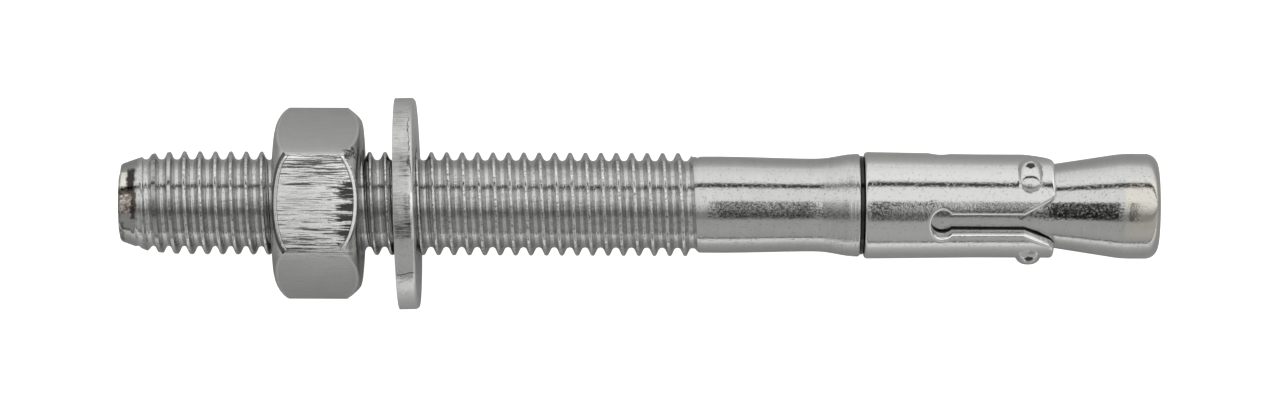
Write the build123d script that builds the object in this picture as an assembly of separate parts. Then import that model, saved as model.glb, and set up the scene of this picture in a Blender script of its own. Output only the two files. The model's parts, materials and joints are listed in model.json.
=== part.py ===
from build123d import *
from math import asin, atan2, ceil, cos, degrees, floor, hypot, radians, sin, tan
import os

# A wedge anchor for concrete: a bolt with a cone at its foot, an expansion clip, a washer and a hex nut.
# Each piece is modelled upright, with the bolt's axis along Z, the threaded tip at 0 and +X towards the
# viewer. The whole anchor is then laid down on Z = 0, as it comes to rest on its washer and its cone.
# All lengths are millimetres, and all angles are degrees.

# thread, metric coarse and right-hand, rolled between worn dies, so its crests are a little low
thread_diameter = 11.74
thread_pitch = 1.75
thread_depth = 0.54 * thread_pitch
thread_crest_flat = 0.19 * thread_pitch
thread_half_angle = 30.0
thread_phase = 0.65  # where the middle of a crest crosses the side that faces the viewer
threaded_length = 65.4
runout_length = 3.5

# pointed tip of the thread
tip_diameter = thread_diameter - 2.74
tip_edge_radius = 0.35
point_diameter = thread_diameter - 1.24
point_length = 2.4
lead_in_diameter = thread_diameter - 0.24
lead_in_length = 4.4

# shank between the thread and the clip, drawn in at its waist
shank_diameter = thread_diameter - 0.76
waist_diameter = shank_diameter - 0.42
waist_length = 12.8
flare_length = 4.6
collar_diameter = thread_diameter - 0.06
collar_length = 1.05
collar_edge_radius = 0.22

# neck and cone that the clip sits on
neck_diameter = thread_diameter - 2.84
neck_length = 19.9
cone_half_angle = 8.8
cone_diameter = thread_diameter + 0.19
cone_blend_radius = 9.0
cone_land_length = 2.7
cone_edge_radius = 1.45

# expansion clip, a strip folded round the neck, a little wider at the collar than at its legs
clip_thickness = 1.32
clip_play = 0.12
clip_length = 21.45
clip_gap = 0.45
clip_flare = 0.17
clip_flare_length = 12.7
clip_edge_radius = 0.3
clip_end_radius = 0.6
leg_count = 3
slot_angle = 23.0
slot_width = 2.35
slot_eye_length = 2.65
slot_eye_width = 3.5
slot_eye_place = 8.8
slot_mouth_length = 3.45
slot_mouth_angle = 62.0
seam_width = 0.9
seam_slot = 1
bump_setback = 2.8
bump_height = 0.8
bump_length = 2.7
bump_width = 4.3
pit_depth = 0.3
pit_length = 0.75
pit_width = 1.3

# hex nut
nut_sides = 6
nut_place = 17.45
nut_height = 10.0
nut_across_flats = 19.0
nut_bore_diameter = thread_diameter - 1.44
nut_countersink_diameter = thread_diameter + 1.16
nut_countersink_angle = 30.0
nut_chamfer_share = 0.95
nut_chamfer_angle = 30.0
nut_corner_radius = 0.5
thread_play = 0.1

# washer, standing on its rim with the bolt resting in its bore, and leaning a little
washer_place = 32.55
washer_diameter = 24.0
washer_bore_diameter = thread_diameter + 1.26
washer_thickness = 2.35
washer_edge_radius = 0.5
washer_lean = 1.5
washer_play = 0.08

# how far a cut reaches past what it cuts, and where a turned surface closes, at one side of the anchor
overshoot = 1.0
closing_angle = 90.0

# lengths that follow from the values above
thread_core_diameter = thread_diameter - 2 * thread_depth
waist_place = threaded_length + waist_length
collar_place = waist_place + flare_length
neck_place = collar_place + collar_length
cone_place = neck_place + neck_length
cone_slope = tan(radians(cone_half_angle))
cone_length = (cone_diameter - neck_diameter) / 2 / cone_slope
cone_blend = cone_blend_radius * tan(radians(cone_half_angle / 2))
land_place = cone_place + cone_length
bolt_length = land_place + cone_land_length + cone_edge_radius
clip_place = neck_place + clip_gap
clip_end = clip_place + clip_length
clip_bore_radius = neck_diameter / 2 + clip_play
clip_radius = clip_bore_radius + clip_thickness
leg_angle = 360 / leg_count
bump_place = clip_end - bump_setback
washer_rise = (washer_bore_diameter - thread_diameter) / 2 - washer_play


def turned(points):
    """The solid that a closed outline of (radius, height) points sweeps round the axis."""
    return revolve(make_face(Polyline(*[(r, 0, z) for r, z in points], close=True)), Axis.Z)


def cone_radius(height):
    """Radius of the cone's straight side at a height."""
    return neck_diameter / 2 + (height - cone_place) * cone_slope


def thread_turn(outline, height):
    """The faces of one turn, each ruled between two neighbouring helices."""
    helices = [
        Edge.make_helix(thread_pitch, thread_pitch, radius, (0, 0, height + rise))
        for radius, rise in outline
    ]
    return [Face.make_surface_from_curves(a, b) for a, b in zip(helices, helices[1:])]


def thread_end(outline, height):
    """The two faces that close a screw's end: a spiral floor, and the step that it leaves."""
    foot, top = (0, 0, height), (0, 0, height + thread_pitch)
    rim = Edge.make_helix(thread_pitch, thread_pitch, outline[0][0], foot)
    profile = [(radius, 0, height + rise) for radius, rise in outline]
    return [
        Face.make_surface_from_curves(Edge.make_line(foot, top), rim),
        Face(Wire.make_polygon([foot, *profile, top], close=True)),
    ]


def screw(core_radius, crest_radius, crest_flat, low, high):
    """A threaded rod that reaches past low and high."""
    flank = (crest_radius - core_radius) * tan(radians(thread_half_angle))
    outline = [
        (crest_radius, 0),
        (crest_radius, crest_flat),
        (core_radius, crest_flat + flank),
        (core_radius, thread_pitch - flank),
        (crest_radius, thread_pitch),
    ]
    crest_start = thread_phase - crest_flat / 2
    first_turn = floor((low - crest_start) / thread_pitch) - 1
    last_turn = ceil((high - crest_start) / thread_pitch)
    heights = [crest_start + turn * thread_pitch for turn in range(first_turn, last_turn + 1)]
    faces = [face for height in heights for face in thread_turn(outline, height)]
    faces += thread_end(outline, heights[0]) + thread_end(outline, heights[-1] + thread_pitch)
    return Solid(Shell(faces))


def bolt_thread():
    """The bolt's thread, pointed at the tip and cut off at the shoulder."""
    rod = screw(thread_core_diameter / 2, thread_diameter / 2, thread_crest_flat, 0, threaded_length)
    clear = thread_diameter / 2 + overshoot
    shoulder = shank_diameter / 2 - thread_crest_flat / 2
    lead_in_end = point_length + lead_in_length
    blank = turned([
        (0, 0),
        (tip_diameter / 2 - tip_edge_radius, 0),
        (tip_diameter / 2, tip_edge_radius),
        (point_diameter / 2, point_length),
        (lead_in_diameter / 2, lead_in_end),
        (clear, lead_in_end + 2 * (clear - lead_in_diameter / 2)),
        (clear, threaded_length - (clear - shoulder)),
        (shoulder, threaded_length),
        (0, threaded_length),
    ])
    return rod & blank


def bolt_body():
    """Run-out of the thread, shank, collar, neck and cone, turned as one."""
    inside = thread_core_diameter / 2 - thread_crest_flat
    runout = threaded_length - runout_length
    shank, waist, collar = shank_diameter / 2, waist_diameter / 2, collar_diameter / 2
    neck, land = neck_diameter / 2, cone_diameter / 2
    foot = land - cone_edge_radius
    slope = radians(cone_half_angle)
    blend_start = (land - cone_blend * sin(slope), 0, land_place - cone_blend * cos(slope))
    blend_end = (land, 0, land_place + cone_blend)
    land_end = (land, 0, bolt_length - cone_edge_radius)
    along = (0, 0, 1)
    outline = [
        Polyline((0, 0, runout - inside), (inside, 0, runout - inside), (inside, 0, runout),
                 (shank, 0, threaded_length)),
        Spline((shank, 0, threaded_length), (waist, 0, waist_place),
               tangents=((2 * (waist - shank) / waist_length, 0, 1), along)),
        Spline((waist, 0, waist_place), (collar, 0, collar_place), tangents=(along, along)),
        Polyline((collar, 0, collar_place), (collar, 0, neck_place - collar_edge_radius),
                 (collar - collar_edge_radius, 0, neck_place), (neck, 0, neck_place), (neck, 0, cone_place),
                 blend_start),
        TangentArc(blend_start, blend_end, tangent=(sin(slope), 0, cos(slope))),
        Line(blend_end, land_end),
        TangentArc(land_end, (foot, 0, bolt_length), tangent=along),
        Polyline((foot, 0, bolt_length), (0, 0, bolt_length), (0, 0, runout - inside)),
    ]
    return Rot(0, 0, closing_angle) * revolve(make_face(Wire(Curve() + outline)), Axis.Z)


def anchor_bolt():
    """The bolt, cold-formed in one piece."""
    return bolt_thread() + bolt_body()


def clip_wall():
    """The rolled sleeve before its slots are cut, a little wider towards the collar."""
    flare_end = clip_place + clip_flare_length
    flared, flared_bore = clip_radius + clip_flare, clip_bore_radius + clip_flare
    end_start = (clip_radius - clip_end_radius, 0, clip_end)
    end_top = (clip_radius, 0, clip_end - clip_end_radius)
    outline = [
        Polyline((clip_radius, 0, flare_end), (flared, 0, clip_place + clip_edge_radius),
                 (flared - clip_edge_radius, 0, clip_place), (flared_bore, 0, clip_place),
                 (clip_bore_radius, 0, flare_end), (clip_bore_radius, 0, clip_end), end_start),
        TangentArc(end_start, end_top, tangent=(1, 0, 0)),
        Line(end_top, (clip_radius, 0, flare_end)),
    ]
    return revolve(make_face(Wire(Curve() + outline)), Axis.Z)


def bump(angle):
    """A pressed oval lug near the end of a leg: the cap of a larger ellipsoid."""
    sunk = bump_height / 2
    half_height = bump_height + sunk
    spread = 1 / (1 - (sunk / half_height) ** 2) ** 0.5
    oval = scale(Sphere(1), (half_height, bump_width / 2 * spread, bump_length / 2 * spread))
    return Rot(0, 0, angle) * Pos(clip_radius - sunk, 0, bump_place) * oval


def pit(angle):
    """The small punched pit in a lug."""
    oval = scale(Sphere(1), (pit_depth, pit_width / 2, pit_length / 2))
    return Rot(0, 0, angle) * Pos(clip_radius + bump_height, 0, bump_place) * oval


def slot_mouth(reach, low, high):
    """The flared end of a slot, from low to high above the middle of its eye."""
    narrow = degrees(asin(slot_width / 2 / clip_radius))
    widening = (slot_mouth_angle / 2 - narrow) / slot_mouth_length
    wide = slot_mouth_angle / 2 + widening * overshoot
    ends = []
    for radius in (clip_bore_radius / 2, reach):
        low_y, high_y = radius * tan(radians(narrow)), radius * tan(radians(wide))
        narrow_edge = [(radius, -low_y, low), (radius, low_y, low)]
        wide_edge = [(radius, high_y, high), (radius, -high_y, high)]
        ends.append(Face(Wire.make_polygon(narrow_edge + wide_edge, close=True)))
    return loft(Sketch() + ends, ruled=True)


def slot(angle):
    """One slot between two legs: an oval eye, a straight run and a mouth that flares to the free end."""
    reach = 2 * clip_radius
    high = clip_length - slot_eye_place + overshoot
    eye = extrude(Plane.YZ * Ellipse(slot_eye_width / 2, slot_eye_length / 2), reach)
    run = Box(reach, slot_width, high, align=(Align.MIN, Align.CENTER, Align.MIN))
    mouth = slot_mouth(reach, high - overshoot - slot_mouth_length, high)
    return Rot(0, 0, angle) * Pos(0, 0, clip_place + slot_eye_place) * (eye + run + mouth)


def seam(angle):
    """The gap where the two ends of the folded strip meet, in line with one slot."""
    length = slot_eye_place + overshoot
    cut = Box(2 * clip_radius, seam_width, length, align=(Align.MIN, Align.CENTER, Align.MIN))
    return Rot(0, 0, angle) * Pos(0, 0, clip_place - overshoot) * cut


def expansion_clip():
    """The clip, folded from one strip, with its legs eased inside where they ride on the cone."""
    slots = [slot_angle + leg * leg_angle for leg in range(leg_count)]
    legs = [angle + leg_angle / 2 for angle in slots]
    bore = Cylinder(clip_bore_radius, clip_length, align=(Align.CENTER, Align.CENTER, Align.MIN))
    clip = clip_wall() + [bump(angle) - Pos(0, 0, clip_place) * bore for angle in legs]
    low, high = cone_place - overshoot, clip_end + overshoot
    low_radius, high_radius = cone_radius(low) + clip_play, cone_radius(high) + clip_play
    ease = turned([(0, low), (low_radius, low), (high_radius, high), (0, high)])
    cuts = [slot(angle) for angle in slots] + [pit(angle) for angle in legs]
    return clip - cuts - seam(slots[seam_slot]) - ease


def nut_blank():
    """The hexagonal prism with its corners chamfered at both ends."""
    low, high = nut_place, nut_place + nut_height
    flat = nut_across_flats / 2
    corner = flat / cos(radians(180 / nut_sides))
    hexagon = RegularPolygon(flat, nut_sides, major_radius=False, rotation=180 / nut_sides)
    prism = extrude(hexagon, nut_height)
    prism = fillet(prism.edges().filter_by(Axis.Z), nut_corner_radius)
    ring = flat * nut_chamfer_share
    drop = (corner - ring) * tan(radians(nut_chamfer_angle))
    rounding = [(ring, low), (corner, low + drop), (corner, high - drop), (ring, high)]
    envelope = turned([(0, low), *rounding, (0, high)])
    return Pos(0, 0, low) * prism & envelope


def hex_nut():
    """The nut, countersunk at both ends and tapped to run on the bolt's thread."""
    low, high = nut_place, nut_place + nut_height
    sink, bore = nut_countersink_diameter / 2, nut_bore_diameter / 2
    sink_depth = (sink - bore) * tan(radians(nut_countersink_angle))
    hole = turned([
        (0, low - overshoot),
        (sink, low - overshoot),
        (sink, low),
        (bore, low + sink_depth),
        (bore, high - sink_depth),
        (sink, high),
        (sink, high + overshoot),
        (0, high + overshoot),
    ])
    half_angle = radians(thread_half_angle)
    crest_flat = thread_crest_flat + 2 * thread_play * (1 / cos(half_angle) - tan(half_angle))
    core, crest = thread_core_diameter / 2, thread_diameter / 2
    return nut_blank() - hole - screw(core + thread_play, crest + thread_play, crest_flat, low, high)


def washer():
    """The plain washer: punched, so one rim edge is round. The bolt lies low in its bore."""
    disc = Cylinder(washer_diameter / 2, washer_thickness)
    rim = disc.edges().filter_by(GeomType.CIRCLE).sort_by(Axis.Z)[-1]
    ring = fillet(rim, washer_edge_radius) - Cylinder(washer_bore_diameter / 2, 2 * washer_thickness)
    return Pos(washer_rise, 0, washer_place) * Rot(washer_lean, 0, 0) * Rot(0, 0, closing_angle) * ring


def rest_lean():
    """Angle of the axis to the floor, with the washer's rim and the cone's edge both touching it."""
    rim_height = washer_place + washer_thickness / 2 - washer_edge_radius
    rim_reach = washer_diameter / 2 - washer_rise - washer_edge_radius
    along = bolt_length - cone_edge_radius - rim_height
    drop = rim_reach - (cone_diameter / 2 - cone_edge_radius)
    return atan2(drop, along) + asin((washer_edge_radius - cone_edge_radius) / hypot(along, drop))


def rest_place():
    """Lays the upright anchor down along X, viewer's side up, centred over the origin on Z = 0."""
    lean = rest_lean()
    foot_height, foot_radius = bolt_length - cone_edge_radius, cone_diameter / 2 - cone_edge_radius
    height = foot_height * sin(lean) + foot_radius * cos(lean) + cone_edge_radius
    left = -tip_diameter / 2 * sin(lean)
    right = foot_height * cos(lean) + foot_radius * sin(lean) + cone_edge_radius
    return Pos(-(left + right) / 2, 0, height) * Rot(0, 90 + degrees(lean), 0) * Rot(0, 0, 180)


pieces = {
    "anchor_bolt": anchor_bolt(),
    "expansion_clip": expansion_clip(),
    "hex_nut": hex_nut(),
    "washer": washer(),
}
os.makedirs("parts", exist_ok=True)
place = rest_place()
for name, piece in pieces.items():
    export_step(place * piece, f"parts/{name}.step")
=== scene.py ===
import json
from math import atan2, ceil, cos, hypot, pi, radians, sin, sqrt, tan

import bpy
from mathutils import Matrix, Vector, noise


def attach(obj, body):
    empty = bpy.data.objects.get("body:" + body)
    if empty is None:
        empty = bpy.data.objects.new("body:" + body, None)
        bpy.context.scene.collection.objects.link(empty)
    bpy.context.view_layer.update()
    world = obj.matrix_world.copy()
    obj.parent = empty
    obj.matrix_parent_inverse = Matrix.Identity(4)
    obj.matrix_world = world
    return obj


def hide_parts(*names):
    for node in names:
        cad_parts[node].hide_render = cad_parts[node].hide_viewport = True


# A wedge anchor that lies on a pale floor. Each piece is made upright in millimetres, with the bolt's axis
# along Z, the threaded tip at 0 and +X towards the viewer, and is then laid down in metres on the frame.
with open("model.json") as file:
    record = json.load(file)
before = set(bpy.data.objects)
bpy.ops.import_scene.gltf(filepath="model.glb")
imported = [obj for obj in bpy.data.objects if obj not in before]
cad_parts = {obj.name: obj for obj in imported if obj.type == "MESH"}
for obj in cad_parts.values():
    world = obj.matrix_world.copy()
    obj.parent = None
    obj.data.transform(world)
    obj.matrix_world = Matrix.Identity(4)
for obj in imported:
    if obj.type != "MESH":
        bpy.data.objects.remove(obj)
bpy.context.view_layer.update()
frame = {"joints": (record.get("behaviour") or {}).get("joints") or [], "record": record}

MM = 0.001
COLUMNS = 108  # faces round the bolt
SMOOTH_ANGLE = radians(38)  # sharper folds than this stay sharp
DOUBLED = 0.0004  # corners closer than this are one

# thread
PITCH = 1.75
CREST_RADIUS = 5.87
ROOT_RADIUS = 4.925
CREST_ROUND = 0.24
FLANK_ANGLE = radians(25)
CREST_PLACE = 0.65  # middle of a crest at the viewer's side
ARC_STEPS = 6
THREAD_END = 66.1

# bolt: (place along the axis, radius)
POINT = [(0.0, 4.15), (0.12, 4.37), (0.35, 4.5), (2.4, 5.22), (3.0, 5.45), (3.8, 5.6), (5.5, 5.76),
         (7.2, 5.86), (9.0, 6.9)]
RUNOUT = [(0.0, 4.0), (61.9, 4.6), (64.5, 4.95), (65.2, 5.0), (65.35, 5.2), (65.5, 5.38), (65.7, 5.45),
          (THREAD_END, 5.47)]
POINT_REACH, RUNOUT_START = 20, 55  # the point ends below the first, the run-out starts above the second
LAST_CREST = [(64.2, 6.0), (64.55, 5.7), (64.9, 5.42), (65.3, 5.44), (THREAD_END, 5.47)]
END_FACE_CROWN = 0.12
SHANK = [(THREAD_END, 5.47), (68.0, 5.475), (70.4, 5.445), (72.8, 5.39), (75.2, 5.325), (77.2, 5.285),
         (78.6, 5.275), (79.5, 5.305), (80.3, 5.39), (81.1, 5.53), (81.8, 5.66), (82.4, 5.755), (82.75, 5.79)]
COLLAR = [(82.82, 5.765), (82.9, 5.775), (83.0, 5.825), (83.2, 5.83), (83.27, 5.8), (83.34, 5.83),
          (83.6, 5.84), (83.74, 5.8), (83.82, 5.7), (83.88, 5.62), (84.2, 5.58), (84.22, 4.6), (84.28, 4.45)]
NECK_RADIUS = 4.45
CONE_PLACE = 103.75
CONE_SLOPE = tan(radians(8.8))
CONE_END = 112.7
CONE_BLEND = [(112.85, 5.855), (113.25, 5.9), (113.7, 5.935), (114.23, 5.958)]
CONE = [(CONE_PLACE, NECK_RADIUS), (CONE_END, NECK_RADIUS + (CONE_END - CONE_PLACE) * CONE_SLOPE)]
NECK_ROWS = (88.0, 92.0, 96.0, 100.0, CONE_PLACE)
CONE_ROWS = (106.0, 108.5, 111.0, CONE_END)
LAND_PLACE, LAND_RADIUS = 114.6, 5.965
BOLT_LENGTH = 117.686
FOOT_ROUND, FOOT_STEPS = 1.45, 8
FOOT_RING = 2.0  # radius of a ring of corners in the flat foot

# clip
CLIP_LOW, CLIP_HIGH = 84.3, 105.75
CLIP_RADIUS = 5.89
CLIP_WALL = 1.32
CLIP_FLARE, CLIP_FLARE_LENGTH = 0.17, 12.7
CLIP_PLAY = 0.12
LEGS = 3
SLOT_ANGLE = 23.0  # of the first slot, from the viewer's side towards the picture's lower edge
SLOT_HALF = 1.175
EYE_LOW, EYE_HIGH, EYE_HALF = 91.75, 94.4, 1.75
EYE_MIDDLE, EYE_REACH = (EYE_LOW + EYE_HIGH) / 2, (EYE_HIGH - EYE_LOW) / 2
MOUTH_LOW, MOUTH_HALF_ANGLE = 102.3, radians(31)
SEAM_SLOT, SEAM_HALF = 1, 0.45
LEG_CORNER = 0.9
CLIP_LIP = 0.42
LUG_PLACE, LUG_HEIGHT, LUG_HALF_LENGTH, LUG_HALF_WIDTH = 102.95, 0.8, 1.36, 2.25
PIT_SHIFTS = (-1.35, -0.9, -0.75)  # round from the middle of the lug, by leg
PIT_DEPTH, PIT_HALF_LENGTH, PIT_HALF_WIDTH = 0.3, 0.62, 0.5

# nut
NUT_LOW, NUT_HIGH = 17.45, 27.45
NUT_FLAT = 9.5
NUT_CORNER_BEVEL = 0.42
# (radius, depth from the end face) of the domed end towards the tip and of the washer's end
NUT_DOME = [(7.6, 0.0), (8.4, 0.08), (9.0, 0.22), (9.5, 0.42), (10.0, 0.72), (10.4, 1.05), (10.7, 1.4),
            (10.9, 1.75)]
NUT_CHAMFER = [(8.4, 0.0), (9.0, 0.06), (9.4, 0.15), (9.7, 0.36), (10.1, 0.75), (10.5, 1.22), (10.9, 1.75)]
NUT_SPARE = 1.0  # what the blank has more at each end, so that no two faces lie in one plane
NUT_LATHE_LOW, NUT_LATHE_HIGH = 3.2, 3.1  # depths between which the lathe cuts nothing
NUT_LATHE_COLUMNS = 180
NUT_EDGE, NUT_EDGE_ANGLE = 0.13, radians(24)
NUT_SINK_RADIUS, NUT_SINK_ANGLE, NUT_BORE_RADIUS = 6.45, radians(30), 5.15
TAP_REACH = 0.5  # how far the tap stands out of the nut
THREAD_PLAY = 0.1

# washer
WASHER_PLACE, WASHER_RISE, WASHER_LEAN = 32.55, 0.55, radians(1.5)
WASHER_RADIUS, WASHER_BORE, WASHER_HALF = 12.0, 6.5, 1.175
WASHER_ROUND, WASHER_TORN_EDGE, WASHER_BORE_EDGE = 0.5, 0.12, 0.2
WASHER_RING = 9.2  # radius of a ring of corners in both faces
WASHER_COLUMNS, RIM_ROWS = 300, 18
TEAR_TOP, TEAR_DEPTH = 0.35, 0.045  # up to where across the rim, and how deep

# light: (angle about the axis from the viewer towards the picture's upper edge, brightness)
TENT_WALLS = [(-180, 0.3), (-120, 0.4), (-94, 0.42), (-92, 0.14), (-87, 0.14), (-85, 0.42), (-65, 0.47),
              (-38, 0.44), (-33, 0.3), (-20, 0.3), (-12, 0.6), (-2, 0.85), (9, 0.97), (16, 1.0), (40, 0.97),
              (42.5, 0.06), (51.5, 0.06), (54, 1.0), (63, 1.05), (80, 1.0), (92, 0.9), (180, 0.4)]
TENT_SEAM = [(-36, 0.0), (-32, 1.0), (6, 1.0), (9.5, 0.0)]  # the wide dark seam overhead
# (share of the length the light comes from, how dark the seam is there)
TENT_SEAM_LENGTH = [(-0.3, 0.2), (-0.245, 0.97), (-0.18, 0.97), (-0.14, 0.0), (0.007, 0.0), (0.011, 0.86),
                    (0.033, 0.86), (0.037, 0.7), (0.056, 0.7), (0.06, 0.96), (0.08, 0.96), (0.086, 0.0)]
FLOOR_SIZE, FLOOR_PLACE = 6, -0.0002
FLOOR_GREY = (0.6, 0.6, 0.6, 1)
GLOSS_START, GLOSS_END, GLOSS_GLOW = 0.015, 0.08, 0.5  # the paper glows in gloss this far from the anchor

# camera
CAMERA_DISTANCE = 0.65
SENSOR, LENS = 36, 161.0
PHOTO_MIDDLE = 58.93  # place along the bolt in the middle of the picture
PHOTO_RISE = -0.07
PHOTO_ROLL = radians(0.21)


# Where the frame holds the anchor.
axis = Vector(frame["joints"][0]["axis"]).normalized()
toward = Vector((-axis.z, 0, axis.x))
tip = Vector(next(m["pos_m"] for m in frame["record"]["mounts"] if m["name"] == "hammer_face"))
turn = Matrix((toward, axis.cross(toward), axis)).transposed()
lie = Matrix.Translation(tip) @ turn.to_4x4() @ Matrix.Scale(MM, 4)


def level(table, place):
    """The value at a place in a list of (place, value), on straight lines between its points."""
    if place <= table[0][0]:
        return table[0][1]
    for (low, first), (high, last) in zip(table, table[1:]):
        if place <= high:
            return first + (last - first) * (place - low) / (high - low)
    return table[-1][1]


def only(*pieces):
    """Selects these pieces and nothing else, the first one active."""
    bpy.ops.object.select_all(action="DESELECT")
    for piece in pieces:
        piece.select_set(True)
    bpy.context.view_layer.objects.active = pieces[0]


def traced(name, points, closed=False):
    """An outline of (radius, height) points on the viewer's side, drawn by extruding one corner."""
    bpy.ops.object.select_all(action="DESELECT")
    bpy.ops.mesh.primitive_plane_add(size=1)
    piece = bpy.context.object
    piece.name = name
    bpy.ops.object.mode_set(mode="EDIT")
    bpy.ops.mesh.merge(type="CENTER")
    bpy.ops.transform.translate(value=(points[0][0], 0, points[0][1]))
    rest = points[1:] + (points[:1] if closed else [])
    start = points[0]
    for point in rest:
        step = (point[0] - start[0], 0, point[1] - start[1])
        bpy.ops.mesh.extrude_region_move(TRANSFORM_OT_translate={"value": step})
        start = point
    bpy.ops.object.mode_set(mode="OBJECT")
    return piece


def clean(piece, gap=DOUBLED):
    """Joins doubled corners and points every face outwards."""
    only(piece)
    bpy.ops.object.mode_set(mode="EDIT")
    bpy.ops.mesh.select_all(action="SELECT")
    bpy.ops.mesh.remove_doubles(threshold=gap)
    bpy.ops.mesh.dissolve_degenerate(threshold=gap)
    bpy.ops.mesh.normals_make_consistent(inside=False)
    bpy.ops.object.mode_set(mode="OBJECT")


def turned(name, points, columns=COLUMNS, closed=False):
    """Spins a traced outline right round the axis."""
    piece = traced(name, points, closed)
    bpy.ops.object.mode_set(mode="EDIT")
    bpy.ops.mesh.select_all(action="SELECT")
    bpy.ops.mesh.spin(steps=columns, angle=2 * pi, center=(0, 0, 0), axis=(0, 0, 1))
    bpy.ops.object.mode_set(mode="OBJECT")
    clean(piece)
    return piece


def apply(piece, kind, **values):
    """Adds a modifier with these values and applies it."""
    only(piece)
    modifier = piece.modifiers.new(kind.lower(), kind)
    for key, value in values.items():
        setattr(modifier, key, value)
    bpy.ops.object.modifier_apply(modifier=modifier.name)


def cut(piece, tool, operation="DIFFERENCE"):
    """Cuts a piece with a tool, which is then thrown away."""
    apply(piece, "BOOLEAN", operation=operation, object=tool, solver="EXACT")
    bpy.data.objects.remove(tool)


def moved(piece, rule):
    """Moves each corner of a piece to where a rule says, as (radius, angle, height) in and out."""
    for vertex in piece.data.vertices:
        x, y, z = vertex.co
        radius, angle, height = rule(hypot(x, y), atan2(y, x), z)
        vertex.co = (radius * cos(angle), radius * sin(angle), height)


def thread_outline(grow=0.0):
    """One pitch of the thread's outline, from the middle of a root to the next, with round crest and root."""
    crest, root = CREST_RADIUS + grow, ROOT_RADIUS + grow
    slope, spread = pi / 2 - FLANK_ANGLE, tan(FLANK_ANGLE)
    rounds = (PITCH / 2 - (crest - root) * spread) / (sin(slope) - (1 - cos(slope)) * spread)
    root_round = rounds - CREST_ROUND
    angles = [slope * k / ARC_STEPS * 2 for k in range(ARC_STEPS // 2 + 1)]
    half = [(crest - CREST_ROUND * (1 - cos(a)), CREST_ROUND * sin(a)) for a in angles]
    half += [(root + root_round * (1 - cos(a)), PITCH / 2 - root_round * sin(a)) for a in reversed(angles)]
    return [(r, -z) for r, z in half[:0:-1]] + half


def thread_skin(name, low, high, grow=0.0):
    """The thread's surface, wound up as one strip from under low to over high."""
    first = CREST_PLACE + PITCH * (int((low - CREST_PLACE) / PITCH) - 3)
    turns = ceil((high - first) / PITCH) + 2
    piece = traced(name, [(r, first + z) for r, z in thread_outline(grow)])
    apply(piece, "SCREW", axis="Z", angle=2 * pi, screw_offset=PITCH, iterations=turns,
          steps=COLUMNS, render_steps=COLUMNS, use_smooth_shade=True)
    return piece


def press_bolt(radius, angle, height):
    """Presses the thread's strip into the bolt's point, its shoulder and its end face."""
    if height >= THREAD_END:
        return SHANK[0][1], angle, THREAD_END
    if height <= 0:
        share = max(0.0, 1 + height / (PITCH / 2))
        return POINT[0][1] * share, angle, END_FACE_CROWN * (share * share - 1)
    if height < POINT_REACH:
        radius = min(radius, level(POINT, height))
    if height > RUNOUT_START:
        radius = max(min(radius, level(LAST_CREST, height)), level(RUNOUT, height))
    return radius, angle, height


def bolt():
    """Thread, shank, collar, neck and cone, closed as one skin."""
    skin = thread_skin("bolt", 0, THREAD_END)
    moved(skin, press_bolt)
    clean(skin)
    outline = [(r, z) for z, r in SHANK + COLLAR]
    outline += [(NECK_RADIUS, z) for z in NECK_ROWS]
    outline += [(NECK_RADIUS + (z - CONE_PLACE) * CONE_SLOPE, z) for z in CONE_ROWS]
    outline += [(r, z) for z, r in CONE_BLEND]
    foot = BOLT_LENGTH - FOOT_ROUND
    outline += [(LAND_RADIUS, LAND_PLACE), (LAND_RADIUS, foot)]
    outline += [(LAND_RADIUS - FOOT_ROUND * (1 - cos(a)), foot + FOOT_ROUND * sin(a))
                for a in (pi / 2 * k / FOOT_STEPS for k in range(1, FOOT_STEPS + 1))]
    outline += [(FOOT_RING, BOLT_LENGTH), (0, BOLT_LENGTH)]
    shank = turned("shank", outline)
    only(skin, shank)
    bpy.ops.object.join()
    clean(skin)
    return skin


def press_tap(radius, angle, height):
    """Presses a thread's strip into the plug that the nut's hole is cut with."""
    low, high = NUT_LOW - TAP_REACH, NUT_HIGH + TAP_REACH
    if height <= low or height >= high:
        share = max(0.0, 1 - (low - height if height <= low else height - high) / (PITCH / 2))
        return NUT_SINK_RADIUS * share, angle, min(max(height, low), high)
    depth = max(min(height - NUT_LOW, NUT_HIGH - height), 0)
    sink = NUT_SINK_RADIUS - depth / tan(NUT_SINK_ANGLE)
    return max(radius, NUT_BORE_RADIUS, sink), angle, height


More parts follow.
